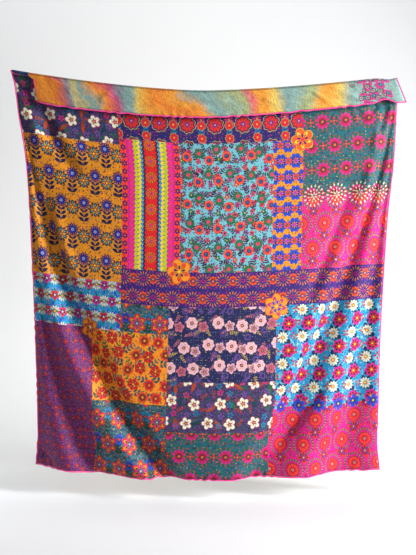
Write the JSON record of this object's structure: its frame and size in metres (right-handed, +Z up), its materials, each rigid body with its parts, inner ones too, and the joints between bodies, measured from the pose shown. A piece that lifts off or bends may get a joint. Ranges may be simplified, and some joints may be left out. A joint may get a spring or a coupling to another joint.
{
  "type": "blanket",
  "caption": "Large plush throw hanging by its top corners, its top edge turned down over the front, with sweeping folds and a narrow overlocked edging",
  "frame": {"origin": "on top of the turn along the blanket's top, half way between its two held corners", "axes": "X runs across the blanket to the right as seen from its front, Y points away from the front, Z is up, along the drop"},
  "size_m": [1.5295, 0.1239, 1.6021],
  "materials": {
    "plush": "double-faced short-pile plush, printed with a patchwork of floral panels on the front and watercolour blotches on the reverse",
    "edging": "bright pink overlock thread wound closely round the raw edge"
  },
  "bodies": {
    "root": {"blanket_cloth": "plush", "edging_left": "edging", "edging_right": "edging", "edging_flap": "edging", "edging_bottom": "edging"}
  },
  "joints": []
}
